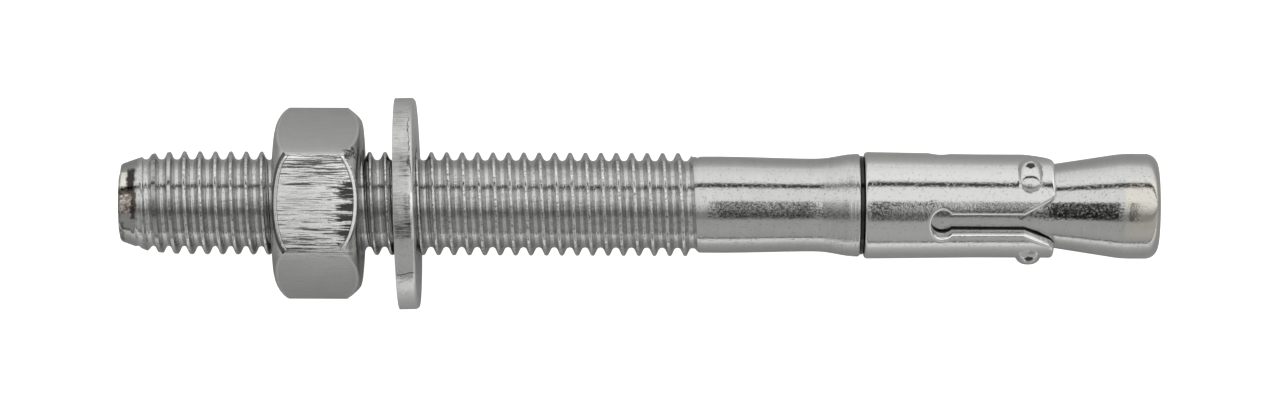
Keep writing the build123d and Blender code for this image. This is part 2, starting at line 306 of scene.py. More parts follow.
def hex_nut():
    """Chamfered and round-edged hexagon, tapped right through."""
    corner = NUT_FLAT / cos(radians(30))
    middle = (NUT_LOW + NUT_HIGH) / 2
    bpy.ops.object.select_all(action="DESELECT")
    bpy.ops.mesh.primitive_cylinder_add(vertices=6, radius=corner, depth=NUT_HIGH - NUT_LOW + 2 * NUT_SPARE,
                                        location=(0, 0, middle))
    nut = bpy.context.object
    nut.name = "nut"
    bpy.ops.object.transform_apply(location=True, rotation=True, scale=True)
    bpy.ops.object.mode_set(mode="EDIT")
    bpy.ops.mesh.select_all(action="DESELECT")
    bpy.ops.object.mode_set(mode="OBJECT")
    for edge in nut.data.edges:
        a, b = (nut.data.vertices[i].co for i in edge.vertices)
        edge.select = abs(a.z - b.z) > 1
    bpy.ops.object.mode_set(mode="EDIT")
    bpy.ops.mesh.select_mode(type="EDGE")
    bpy.ops.mesh.bevel(offset=NUT_CORNER_BEVEL, segments=4, profile=0.5)
    bpy.ops.mesh.select_mode(type="VERT")
    bpy.ops.object.mode_set(mode="OBJECT")
    outline = [(0, NUT_LOW)] + [(r, NUT_LOW + z) for r, z in NUT_DOME]
    outline += [(corner + 1, NUT_LOW + NUT_LATHE_LOW), (corner + 1, NUT_HIGH - NUT_LATHE_HIGH)]
    outline += [(r, NUT_HIGH - z) for r, z in reversed(NUT_CHAMFER)] + [(0, NUT_HIGH)]
    envelope = turned("envelope", outline, NUT_LATHE_COLUMNS)
    cut(nut, envelope, "INTERSECT")
    clean(nut, 0.002)
    apply(nut, "BEVEL", width=NUT_EDGE, segments=3, limit_method="ANGLE", angle_limit=NUT_EDGE_ANGLE)
    tap = thread_skin("tap", NUT_LOW - 1, NUT_HIGH + 1, THREAD_PLAY)
    moved(tap, press_tap)
    clean(tap)
    cut(nut, tap)
    return nut


def round_corner(middle_r, middle_z, radius, start, steps=3):
    """Points of a quarter circle round a middle, from a start angle, counter-clockwise."""
    angles = (start + pi / 2 * k / steps for k in range(steps + 1))
    return [(middle_r + radius * cos(a), middle_z + radius * sin(a)) for a in angles]


def washer():
    """Punched ring: one edge of the rim is round, the rest of the rim torn."""
    h, rim, bore = WASHER_HALF, WASHER_RADIUS, WASHER_BORE
    round_edge, torn_edge, bore_edge = WASHER_ROUND, WASHER_TORN_EDGE, WASHER_BORE_EDGE
    torn = 2 * h - torn_edge - round_edge
    outline = round_corner(rim - torn_edge, -h + torn_edge, torn_edge, -pi / 2)
    outline += [(rim, -h + torn_edge + torn * k / RIM_ROWS) for k in range(1, RIM_ROWS)]
    outline += round_corner(rim - round_edge, h - round_edge, round_edge, 0, 7)
    outline += [(WASHER_RING, h)]
    outline += round_corner(bore + bore_edge, h - bore_edge, bore_edge, pi / 2)
    outline += [(bore, 0.5), (bore, -0.5)]
    outline += round_corner(bore + bore_edge, -h + bore_edge, bore_edge, pi)
    outline += [(WASHER_RING, -h)]
    ring = turned("flat_washer", outline, WASHER_COLUMNS, closed=True)
    for vertex in ring.data.vertices:
        x, y, z = vertex.co
        if hypot(x, y) > rim - 0.2 and z < TEAR_TOP:
            depth = noise.noise(Vector((x * 0.9, y * 0.9, z * 2.2)))
            depth += 0.5 * noise.noise(Vector((x, y, z)) * 3.1)
            share = 1 - TEAR_DEPTH * max(0.0, depth) / rim
            vertex.co = (x * share, y * share, z)
    lean = Matrix.Rotation(WASHER_LEAN, 4, "X")
    ring.data.transform(Matrix.Translation((WASHER_RISE, 0, WASHER_PLACE)) @ lean)
    return ring


def slot_half_angle(height):
    """Half the angle that a slot is open at a height, with its eye and its flared, round-cornered mouth."""
    straight = SLOT_HALF / CLIP_RADIUS
    across = 1 - ((height - EYE_MIDDLE) / EYE_REACH) ** 2
    eye = EYE_HALF / CLIP_RADIUS * sqrt(across) if across > 0 else 0
    if height < EYE_MIDDLE:
        return max(eye, 0.5 * SEAM_HALF / CLIP_RADIUS)
    mouth = 0
    if height > MOUTH_LOW:
        mouth = straight + (MOUTH_HALF_ANGLE - straight) * (height - MOUTH_LOW) / (CLIP_HIGH - MOUTH_LOW)
    corner = max(0.0, height - (CLIP_HIGH - LEG_CORNER)) / LEG_CORNER
    return max(eye, straight, mouth) + LEG_CORNER * (1 - sqrt(1 - min(1, corner) ** 2)) / CLIP_RADIUS


def lip(depth):
    """How far a rounded edge falls away at a distance from the edge."""
    if depth >= CLIP_LIP:
        return 0.0
    return CLIP_LIP - sqrt(CLIP_LIP ** 2 - (CLIP_LIP - max(depth, 0.0)) ** 2)


def clip_columns():
    """Where the columns of one leg stand, from 0 at one slot to 1 at the next, closer near the edges."""
    near = [0.0, 0.006, 0.016, 0.03, 0.047]
    wide = 1 - 2 * near[-1]
    return near + [near[-1] + wide * k / 50 for k in range(1, 50)] + [1 - v for v in reversed(near)]


def clip_heights():
    """Where the rows of the clip lie along the axis."""
    rows = [CLIP_LOW + h for h in (0, 0.04, 0.12, 0.25, 0.42, 0.8, 1.5, 2.4, 3.4, 4.4, 5.4, 6.2, 6.7, 7.0,
                                   7.2, 7.35)]
    rows += [EYE_MIDDLE - EYE_REACH * cos(pi / 2 * k / 9) for k in range(10)]
    rows += [EYE_MIDDLE + EYE_REACH * sin(pi / 2 * k / 7) for k in range(1, 7)]
    rows += [94.5, 94.9, 95.6, 96.5, 97.5, 98.5, 99.5, 100.3, 100.9]
    rows += [101.3 + 4.0 * k / 32 for k in range(33)]
    return rows + [CLIP_HIGH - h for h in (0.36, 0.25, 0.12, 0.04, 0)]


def clip_strip(columns, rows):
    """A closed sleeve with one corner for each column and row, drawn up from a circle."""
    bpy.ops.object.select_all(action="DESELECT")
    bpy.ops.mesh.primitive_circle_add(vertices=LEGS * columns, radius=CLIP_RADIUS, location=(0, 0, rows[0]))
    strip = bpy.context.object
    strip.name = "clip"
    bpy.ops.object.transform_apply(location=True, rotation=True, scale=True)
    bpy.ops.object.mode_set(mode="EDIT")
    for low, high in zip(rows, rows[1:]):
        bpy.ops.mesh.extrude_region_move(TRANSFORM_OT_translate={"value": (0, 0, high - low)})
    bpy.ops.object.mode_set(mode="OBJECT")
    return strip


def edge_distance(off, height):
    """How far a place on the sleeve is from a slot's edge; off is measured round from the slot's middle."""
    off = abs(off)
    if height < EYE_MIDDLE:
        return (hypot(off / EYE_HALF, (height - EYE_MIDDLE) / EYE_REACH) - 1) * EYE_HALF * 0.86
    return (off - slot_half_angle(height) * CLIP_RADIUS) * (0.85 if height > MOUTH_LOW else 1.0)


def lug_rise(off, along, leg):
    """Height of the pressed lug with its pit, by the distance from its middle."""
    out = (abs(along) / LUG_HALF_LENGTH) ** 2.3 + (abs(off) / LUG_HALF_WIDTH) ** 2.6
    return LUG_HEIGHT * max(0.0, 1 - out) ** 0.6 - PIT_DEPTH * min(1.0, pit_share(off, along, leg) * 2.2)


def pit_share(off, along, leg):
    """1 in the middle of a lug's pit, 0 outside it."""
    across = abs((off - PIT_SHIFTS[leg]) / PIT_HALF_WIDTH) ** 1.4
    return max(0.0, 1 - across - abs(along / PIT_HALF_LENGTH) ** 1.4)


def clip():
    """Strip folded round the neck: slotted, with a pressed and pitted lug on each leg and rolled edges."""
    shares, rows = clip_columns(), clip_heights()
    columns = len(shares)
    strip = clip_strip(columns, rows)
    mesh = strip.data
    step = 2 * pi / (LEGS * columns)
    leg_angle = 2 * pi / LEGS
    first = atan2(mesh.vertices[0].co.y, mesh.vertices[0].co.x)
    column_of = [round((atan2(v.co.y, v.co.x) - first) / step) % (LEGS * columns) for v in mesh.vertices]
    for face in mesh.polygons:
        here = sorted({column_of[i] for i in face.vertices})
        before = here[0] if here[1] - here[0] == 1 else here[1]
        seam = before // columns == (SEAM_SLOT - 1) % LEGS
        face.select = before % columns == columns - 1 and (face.center.z > EYE_LOW or seam)
    only(strip)
    bpy.ops.object.mode_set(mode="EDIT")
    bpy.ops.mesh.select_mode(type="FACE")
    bpy.ops.mesh.delete(type="ONLY_FACE")
    bpy.ops.mesh.select_mode(type="VERT")
    bpy.ops.mesh.select_all(action="SELECT")
    bpy.ops.mesh.delete_loose()
    bpy.ops.object.mode_set(mode="OBJECT")
    pit, rim = (mesh.attributes.new(name, "FLOAT", "POINT") for name in ("pit", "rim"))
    for vertex, column in zip(mesh.vertices, column_of):
        height = vertex.co.z
        leg, k = divmod(column, columns)
        half = slot_half_angle(height)
        open_seam = max(half, SEAM_HALF / CLIP_RADIUS)
        start = leg * leg_angle + (open_seam if leg == SEAM_SLOT else half)
        end = (leg + 1) * leg_angle - (open_seam if (leg + 1) % LEGS == SEAM_SLOT else half)
        angle = start + (end - start) * shares[k]
        depth = min(height - CLIP_LOW, CLIP_HIGH - height)
        for slot in (leg, leg + 1):
            off = (angle - slot * leg_angle) * CLIP_RADIUS
            depth = min(depth, edge_distance(off, height))
            if slot % LEGS == SEAM_SLOT:
                depth = min(depth, abs(off) - SEAM_HALF)
        off = (angle - (leg + 0.5) * leg_angle) * CLIP_RADIUS
        radius = CLIP_RADIUS + CLIP_FLARE * max(0.0, 1 - (height - CLIP_LOW) / CLIP_FLARE_LENGTH)
        radius += lug_rise(off, height - LUG_PLACE, leg) - lip(depth)
        pit.data[vertex.index].value = pit_share(off, height - LUG_PLACE, leg)
        # rim: how near a rolled edge, where clip_zinc paints a highlight
        rim.data[vertex.index].value = max(0.0, 1 - depth / CLIP_LIP)
        angle += radians(SLOT_ANGLE)
        vertex.co = (radius * cos(angle), radius * sin(angle), height)
    clean(strip, 0.00001)
    outside = [v.co.copy() for v in mesh.vertices]
    apply(strip, "SOLIDIFY", thickness=CLIP_WALL, offset=-1)
    for vertex, skin in zip(strip.data.vertices[len(outside):], outside):
        radius = max(CLIP_RADIUS - CLIP_WALL, level(CONE, skin.z) + CLIP_PLAY)
        share = radius / hypot(skin.x, skin.y)
        vertex.co = (skin.x * share, skin.y * share, skin.z)
    return strip


def lay_down(piece, body, node):
    """Puts a finished piece on the frame."""
    piece.data.transform(lie)
    piece.data.update()
    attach(piece, body)
    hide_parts(node)


class Nodes:
    """Short way to write a node tree."""

    def __init__(self, tree):
        self.tree = tree

    def add(self, kind, settings=(), **sockets):
        """A node with its settings, and values or links for its sockets."""
        node = self.tree.nodes.new("ShaderNode" + kind)
        for key, value in dict(settings).items():
            setattr(node, key, value)
        for name, value in sockets.items():
            socket = node.inputs[int(name[1:])] if name[0] == "_" else node.inputs[name.replace("_", " ")]
            self.put(value, socket)
        return node

    def put(self, value, socket):
        """Links a socket, or sets it."""
        if isinstance(value, bpy.types.NodeSocket):
            self.tree.links.new(value, socket)
        else:
            socket.default_value = value

    def math(self, operation, a, b=0.0, c=0.0):
        return self.add("Math", {"operation": operation}, _0=a, _1=b, _2=c).outputs[0]

    def times(self, a, b):
        return self.math("MULTIPLY", a, b)

    def plus(self, a, b):
        return self.math("ADD", a, b)

    def less(self, a, b):
        return self.math("SUBTRACT", a, b)

    def most(self, a, b):
        return self.math("MAXIMUM", a, b)

    def fade(self, value, low, high, start=0.0, end=1.0):
        """Runs smoothly from start to end while a value runs from low to high."""
        node = self.add("MapRange", {"interpolation_type": "SMOOTHSTEP"}, Value=value, From_Min=low,
                        From_Max=high, To_Min=start, To_Max=end)
        return node.outputs[0]

    def band(self, value, low, high, soft):
        """1 between low and high, 0 outside."""
        rise = self.fade(value, low - soft, low + soft)
        return self.times(rise, self.fade(value, high + soft, high - soft))

    def ramp(self, value, stops):
        """A tone for each value, on straight lines between (value, tone) stops."""
        node = self.add("ValToRGB", Fac=value)
        marks = node.color_ramp.elements
        for k, (position, tone) in enumerate(stops):
            mark = marks[k] if k < 2 else marks.new(position)
            mark.position = position
            mark.color = (tone, tone, tone, 1)
        return node.outputs["Color"]

    def coordinates(self, place):
        """The three coordinates of a place, and its distance from the axis."""
        apart = self.add("SeparateXYZ", _0=place)
        x, y, z = (apart.outputs[k] for k in "XYZ")
        return x, y, z, self.math("SQRT", self.plus(self.times(x, x), self.times(y, y)))

    def noise(self, vector, scale, detail=2.0, rough=0.5, stretch=(1, 1, 1)):
        """Noise with so many grains a millimetre."""
        if stretch != (1, 1, 1):
            vector = self.add("Mapping", Vector=vector, Scale=stretch).outputs[0]
        node = self.add("TexNoise", Vector=vector, Scale=scale, Detail=detail, Roughness=rough)
        return node.outputs["Fac"]

    def mix(self, share, first, second):
        """Mixes two colours."""
        node = self.add("Mix", {"data_type": "RGBA"})
        self.put(share, node.inputs["Factor"])
        self.put(first, node.inputs["A"])
        self.put(second, node.inputs["B"])
        return node.outputs["Result"]

    def blend(self, share, first, second):
        """Mixes two values."""
        node = self.add("Mix", {"data_type": "FLOAT"})
        self.put(share, node.inputs["Factor"])
        self.put(first, node.inputs["A"])
        self.put(second, node.inputs["B"])
        return node.outputs["Result"]


def group(name, inputs, outputs):
    """An empty node group with named sockets."""
    tree = bpy.data.node_groups.new(name, "ShaderNodeTree")
    for label, kind in inputs:
        tree.interface.new_socket(name=label, in_out="INPUT", socket_type=kind)
    for label, kind in outputs:
        tree.interface.new_socket(name=label, in_out="OUTPUT", socket_type=kind)
    return tree, Nodes(tree), tree.nodes.new("NodeGroupInput"), tree.nodes.new("NodeGroupOutput")


FLOAT, VECTOR = "NodeSocketFloat", "NodeSocketVector"


def zinc_skin():
    """Plated steel: soft cloudy tone, turning marks round the axis and a fine grain of specks."""
    inputs = [("Place", VECTOR), ("Grain", FLOAT), ("Turning", FLOAT), ("Cloud", FLOAT)]
    outputs = [("Tone", FLOAT), ("Roughness", FLOAT), ("Height", FLOAT)]
    tree, n, start, end = group("zinc_skin", inputs, outputs)
    place = start.outputs["Place"]
    cloud = n.noise(place, 0.45, 3.0, 0.6)
    patches = n.noise(place, 1.1, 2.0, 0.5, (0.35, 0.35, 1.0))
    turning = n.noise(place, 5.5, 2.0, 0.6, (0.05, 0.05, 1.0))
    grain = n.noise(place, 5.0, 2.0, 0.6)
    specks = n.fade(n.noise(place, 3.4, 2.0, 0.7), 0.6, 0.68)
    soft = n.times(n.plus(n.times(cloud, 0.5), n.times(patches, 0.5)), start.outputs["Cloud"])
    turned_tone = n.times(n.less(turning, 0.5), n.times(start.outputs["Turning"], 0.5))
    specked = n.times(specks, n.times(start.outputs["Grain"], 0.3))
    tone = n.less(n.plus(n.less(1.0, soft), turned_tone), specked)
    ripple = n.noise(place, 1.9, 2.0, 0.6)
    rough = n.plus(n.times(cloud, 0.07), n.times(grain, n.times(start.outputs["Grain"], 0.07)))
    rough = n.plus(rough, n.times(turning, n.times(start.outputs["Turning"], 0.08)))
    uneven = n.less(n.plus(grain, ripple), n.times(specks, 0.9))
    height = n.plus(n.times(uneven, start.outputs["Grain"]), n.times(turning, start.outputs["Turning"]))
    n.put(tone, end.inputs["Tone"])
    n.put(rough, end.inputs["Roughness"])
    n.put(height, end.inputs["Height"])
    return tree


def scored():
    """Scratches and gouges along the axis, as a spanner and the press leave them."""
    tree, n, start, end = group("scored", [("Place", VECTOR), ("Amount", FLOAT)],
                                [("Dark", FLOAT), ("Height", FLOAT)])
    place = start.outputs["Place"]
    wander = n.add("TexNoise", Vector=place, Scale=0.5, Detail=2.0).outputs["Color"]
    bent = n.add("VectorMath", {"operation": "MULTIPLY_ADD"}, _0=wander, _1=(0, 0.22, 0), _2=place).outputs[0]
    coarse = n.noise(bent, 1.0, 4.0, 0.65, (0.5, 4.6, 0.17))
    fine = n.noise(bent, 1.0, 3.0, 0.7, (0.5, 10.0, 0.3))
    hair = n.noise(bent, 1.0, 2.0, 0.6, (0.5, 13.0, 0.4))
    lines = n.plus(n.times(coarse, 0.55), n.times(fine, 0.45))
    apart = n.add("SeparateXYZ", _0=place)
    thick = n.fade(n.math("ABSOLUTE", n.less(apart.outputs["Y"], 0.4)), 0.8, 4.8, 0.0, 0.045)
    lines = n.plus(lines, thick)
    dark = n.fade(lines, 0.54, 0.565)
    dark = n.most(dark, n.times(n.fade(hair, 0.58, 0.66), 0.7))
    n.put(n.times(dark, start.outputs["Amount"]), end.inputs["Dark"])
    relief = n.plus(n.times(lines, -1.0), n.times(hair, -0.25))
    n.put(n.times(relief, start.outputs["Amount"]), end.inputs["Height"])
    return tree


def torn():
    """Ragged, pitted metal where a blank was sheared."""
    tree, n, start, end = group("torn", [("Place", VECTOR), ("Amount", FLOAT)],
                                [("Dark", FLOAT), ("Height", FLOAT)])
    place = start.outputs["Place"]
    lumps = n.noise(place, 1.6, 4.0, 0.7, (1.0, 1.0, 0.7))
    chips = n.noise(place, 5.0, 3.0, 0.7)
    dark = n.times(n.fade(chips, 0.48, 0.6), n.fade(lumps, 0.44, 0.58))
    n.put(n.times(dark, start.outputs["Amount"]), end.inputs["Dark"])
    relief = n.plus(lumps, n.times(chips, 0.8))
    n.put(n.times(relief, start.outputs["Amount"]), end.inputs["Height"])
    return tree


def stain():
    """A soft-edged rectangle of a stain on the side that faces the viewer."""
    tree, n, start, end = group("stain", [("Place", VECTOR), ("Length From", FLOAT), ("Length To", FLOAT),
                                          ("Height From", FLOAT), ("Height To", FLOAT), ("Ragged", FLOAT)],
                                [("Mask", FLOAT)])
    place = start.outputs["Place"]
    rag = n.add("TexNoise", Vector=place, Scale=1.8, Detail=3.0).outputs["Color"]
    shift = n.add("VectorMath", {"operation": "SUBTRACT"}, _0=rag, _1=(0.5, 0.5, 0.5)).outputs[0]
    shift = n.add("VectorMath", {"operation": "SCALE"}, _0=shift, Scale=start.outputs["Ragged"]).outputs[0]
    moved_place = n.add("VectorMath", {"operation": "ADD"}, _0=place, _1=shift).outputs[0]
    apart = n.add("SeparateXYZ", _0=moved_place)
    soft = 0.14
    masks = []
    for socket, low, high in (("Z", "Length From", "Length To"), ("Y", "Height From", "Height To")):
        value = apart.outputs[socket]
        masks.append(n.fade(n.less(value, start.outputs[low]), -soft, soft))
        masks.append(n.fade(n.less(start.outputs[high], value), -soft, soft))
    mask = n.times(n.times(masks[0], masks[1]), n.times(masks[2], masks[3]))
    n.put(n.times(mask, n.fade(apart.outputs["X"], 0.5, 2.0)), end.inputs["Mask"])
    return tree


SKIN, SCORED, TORN, STAIN = zinc_skin(), scored(), torn(), stain()


def upright_place(n, lean=0.0):
    """Object coordinates brought back to the upright piece, in millimetres."""
    back = lie.inverted()
    if lean:
        back = Matrix.Rotation(-lean, 4, "X") @ Matrix.Translation((-WASHER_RISE, 0, -WASHER_PLACE)) @ back
    coordinates = n.add("TexCoord").outputs["Object"]
    turn_back = back.to_3x3() * MM
    return n.add("Mapping", Vector=coordinates, Scale=(1 / MM,) * 3, Rotation=turn_back.to_euler("XYZ"),
                 Location=back.translation).outputs[0]


def use(n, tree, **sockets):
    """Places a group in a material."""
    node = n.add("Group", {"node_tree": tree})
    for name, value in sockets.items():
        n.put(value, node.inputs[name.replace("_", " ")])
    return node.outputs


def finish(n, shader, colour, rough, height, depth):
    """Puts the finished colour, roughness and relief on the shader."""
    n.put(colour, shader.inputs["Base Color"])
    n.put(rough, shader.inputs["Roughness"])
    shader.inputs["Metallic"].default_value = 1.0
    bump = n.add("Bump", Height=height, Distance=depth)
    n.put(bump.outputs[0], shader.inputs["Normal"])


def new_material(name):
    material = bpy.data.materials.new(name)
    material.use_nodes = True
    return material, Nodes(material.node_tree), material.node_tree.nodes["Principled BSDF"]


# colours
ZINC, CLIP_ZINC, NUT_ZINC = (0.70, 0.705, 0.685), (0.72, 0.725, 0.705), (0.6, 0.605, 0.585)
DARK_ZINC, BRIGHT_ZINC = (0.10, 0.10, 0.095, 1), (0.90, 0.90, 0.88, 1)
PAINTED_HIGHLIGHT, WORN_FLAT, RIM_HIGHLIGHT = (0.98, 0.98, 0.96, 1), (0.97, 0.97, 0.95, 1), (0.95, 0.95, 0.93, 1)
SHEARED, SHEARED_DARK, SCRATCH_AND_SHADE = (0.93, 0.93, 0.91, 1), (0.3, 0.3, 0.29, 1), (0.045, 0.045, 0.042, 1)
RUST, DUSTY = (0.22, 0.17, 0.14, 1), (0.80, 0.74, 0.67, 1)
CREAM, PALE = (0.78, 0.735, 0.64, 1), (0.84, 0.83, 0.74, 1)
# the darkest colour is soot on the tip and dark lines on the washer, and painted shade in the bolt's groove
# and on the clip's inside, start edge and pits
BROWN, SHADE_AND_SOOT = (0.045, 0.032, 0.022, 1), (0.02, 0.018, 0.016, 1)
# depth of the relief, in metres
PLATED_RELIEF, NUT_RELIEF, WASHER_RELIEF = 0.000012, 0.00002, 0.000014
# parts of the bolt with a finish or painted shade of their own, from and to: along it, and the thread's
# flanks from the axis; the groove and the flanks get painted shade
THREADED, FLARED, SHADED_GROOVE, SHADED_FLANKS = (2.2, 65.2), (79.6, 83.5), (83.84, 84.9), (5.3, 5.72)
WARM_ALONG, WARM_ACROSS = (113.6, 117.3), (-2.9, 3.6)  # warm tint on the land
# radii of the clip at which its outer skin, its sheared walls and its painted shade inside begin
CLIP_SKIN, CLIP_SHEARED, CLIP_SHADED_INSIDE = (5.4, 5.5), (5.58, 5.48), (4.92, 4.78)
# stains on the tip: from and to along the bolt, from the upper to the lower edge, how ragged, how strong,
# and the colour, or None for rust
TIP_STAINS = [(0.1, 1.05, -3.4, -1.8, 0.3, 0.8, PALE), (-0.2, 1.75, -1.2, 1.3, 0.9, 0.85, None),
              (1.0, 1.85, -3.8, -1.3, 0.7, 0.93, SHADE_AND_SOOT), (0.0, 1.9, -1.6, -0.9, 0.8, 0.85, BROWN),
              (1.5, 2.1, -1.1, 1.8, 0.8, 0.85, BROWN), (0.3, 0.62, 2.2, 4.4, 0.8, 0.6, BROWN),
              (-0.2, 0.25, -1.6, 2.4, 0.6, 0.5, BROWN)]
# speckled places: from and to along the piece, from the upper to the lower edge, strength
BOLT_SCARS = [(66.6, 79.6, -0.35, 1.45, 0.7), (79.6, 82.6, 0.3, 1.6, 0.3), (101.5, 113.4, -0.35, 1.6, 0.85)]
CLIP_SCARS = [(84.6, 87.4, -0.4, 1.2, 0.8), (87.4, 92.0, -0.35, 0.1, 0.95), (91.5, 92.5, -0.6, 0.1, 0.95),
              (93.3, 103.4, 0.3, 1.3, 0.5)]


def stained(n, place, along, across, ragged):
    """Mask of a stain that runs from one place to another along the piece, and across it."""
    return use(n, STAIN, Place=place, Length_From=along[0], Length_To=along[1], Height_From=across[0],
               Height_To=across[1], Ragged=ragged)["Mask"]


def toned(n, base, tone):
    """A colour made lighter or darker by a tone."""
    return n.add("VectorMath", {"operation": "SCALE"}, _0=base, Scale=tone).outputs[0]


def speckled(n, place, colour, scars, stretch=(1, 1, 0.6)):
    """A colour with places of fine dark specks."""
    bitten = n.mix(n.fade(n.noise(place, 4.6, 3.0, 0.75, stretch), 0.42, 0.54), DARK_ZINC, colour)
    for low, high, up, down, share in scars:
        scar = stained(n, place, (low, high), (up, down), 0.8)
        colour = n.mix(n.times(scar, share), colour, bitten)
    return colour


def bolt_zinc():
    """Bolt: painted shade on the thread's flanks and in the groove before the clip, bright specks on its
    crests, a stained tip and a smooth shank.
    """
    material, n, shader = new_material("bolt_zinc")
    place = upright_place(n)
    _, y, z, radius = n.coordinates(place)
    threaded = n.band(z, *THREADED, 0.3)
    crest = n.times(n.fade(radius, 5.8, 5.865), threaded)
    flare = n.band(z, *FLARED, 0.25)
    grain = n.blend(threaded, 0.6, 0.8)
    grain = n.plus(grain, n.times(flare, 0.15))
    turning = n.blend(threaded, 0.12, 0.55)
    turning = n.plus(turning, n.times(flare, 0.35))
    skin = use(n, SKIN, Place=place, Grain=grain, Turning=turning, Cloud=0.2)
    streak = n.noise(place, 1.0, 2.0, 0.6, (2.2, 2.2, 0.25))
    tone = n.less(skin["Tone"], n.times(n.times(threaded, n.fade(streak, 0.45, 0.7)), 0.16))
    # painted shade: the thread's flanks darker, most of all from the washer towards the tip
    flank_shade = n.times(n.times(n.band(radius, *SHADED_FLANKS, 0.1), threaded), n.fade(z, 34, 30, 0.06, 0.28))
    tone = n.less(tone, flank_shade)
    colour = toned(n, ZINC, tone)
    sparkle = n.times(crest, n.fade(n.noise(place, 2.6, 2.0, 0.7), 0.42, 0.56))
    colour = n.mix(n.times(sparkle, 0.6), colour, BRIGHT_ZINC)
    pits = n.times(crest, n.fade(n.noise(place, 3.1, 2.0, 0.7), 0.54, 0.62))
    colour = n.mix(n.times(pits, 0.7), colour, DARK_ZINC)
    colour = n.mix(n.times(n.fade(n.plus(z, n.times(streak, 1.6)), 3.2, 2.6), 0.42), colour, DARK_ZINC)
    warm = n.mix(n.fade(n.noise(place, 2.6, 3.0, 0.7), 0.42, 0.6), RUST, DUSTY)
    rust = None
    for low, high, up, down, ragged, share, tint in TIP_STAINS:
        mark = stained(n, place, (low, high), (up, down), ragged)
        colour = n.mix(n.times(mark, share), colour, tint or warm)
        rust = rust or (mark if tint is None else None)
    colour = speckled(n, place, colour, BOLT_SCARS)
    cone_warm = n.times(n.band(z, *WARM_ALONG, 0.3), n.band(y, *WARM_ACROSS, 0.5))
    colour = n.mix(n.times(cone_warm, 0.6), colour, CREAM)
    # painted shade in the groove between the collar and the clip
    shade = n.times(n.band(z, *SHADED_GROOVE, 0.05), 0.95)
    colour = n.mix(shade, colour, SHADE_AND_SOOT)
    rough = n.plus(skin["Roughness"], n.blend(threaded, 0.03, 0.06))
    rough = n.plus(rough, n.times(flare, 0.1))
    rough = n.plus(rough, n.times(rust, 0.2))
    finish(n, shader, colour, rough, skin["Height"], PLATED_RELIEF)
    return material


def clip_zinc():
    """Clip: bright and smooth, finely pitted, with rough sheared walls in its slots, painted highlights on
    its rolled edges and painted shade inside, at its start and in its pits.
    """
    material, n, shader = new_material("clip_zinc")
    place = upright_place(n)
    z, radius = n.coordinates(place)[2:]
    skin = use(n, SKIN, Place=place, Grain=0.55, Turning=0.0, Cloud=0.06)
    sheared = use(n, TORN, Place=place, Amount=1.0)
    wall, outer = n.fade(radius, *CLIP_SHEARED), n.fade(radius, *CLIP_SKIN)
    colour = toned(n, CLIP_ZINC, skin["Tone"])
    colour = speckled(n, place, colour, CLIP_SCARS)
    colour = n.mix(wall, colour, n.mix(sheared["Dark"], SHEARED, SHEARED_DARK))
    # painted shade on the walls' inner edges, where they meet the neck
    colour = n.mix(n.times(n.fade(radius, *CLIP_SHADED_INSIDE), 0.95), colour, SHADE_AND_SOOT)
    # painted highlight along the rolled edges, from the eyes on
    rim = n.times(n.add("Attribute", {"attribute_name": "rim"}).outputs["Fac"], outer)
    rim = n.times(rim, n.fade(z, 90.0, 92.0))
    colour = n.mix(n.fade(rim, 0.1, 0.5), colour, PAINTED_HIGHLIGHT)
    # painted shade on the clip's end next to the collar and in the lugs' pits
    start_edge_shade = n.times(n.fade(z, 84.42, 84.33), 0.9)
    pit = n.times(n.add("Attribute", {"attribute_name": "pit"}).outputs["Fac"], outer)
    shade = n.most(start_edge_shade, n.times(n.fade(pit, 0.02, 0.35), 0.93))
    colour = n.mix(shade, colour, SHADE_AND_SOOT)
    rough = n.blend(wall, n.plus(skin["Roughness"], 0.03), 0.4)
    height = n.plus(skin["Height"], n.times(wall, sheared["Height"]))
    finish(n, shader, colour, rough, height, PLATED_RELIEF)
    return material


def arc_depth(n, radius, profile):
    """Axial depth at which a rounded end of the nut reaches a radius."""
    inner, width, deepest = 7.0, 4.0, 3.0
    share = n.math("DIVIDE", n.less(radius, inner), width)
    return n.times(n.ramp(share, [((r - inner) / width, depth / deepest) for r, depth in profile]), deepest)


# worn places of the nut: from and to along it, from the upper to the lower edge, how ragged
NUT_GOUGES = (23.9, 27.2), (-2.4, 4.4), 2.0
NUT_NICK = (25.75, 26.9), (-6.1, -4.95), 1.5
# painted highlights on the rims and painted shade lines round the flats, by the distance from the rounded
# end: tip's end, washer's end
NUT_RIM_HIGHLIGHTS = (0.1, 0.34), (0.0, 0.34)
NUT_SHADE_LINES = (0.37, 0.44), (0.38, 0.46)
# painted shade line at the fold outside the front flat
NUT_FOLD_SHADE = -0.2, 0.07  # dark fold outside the front flat


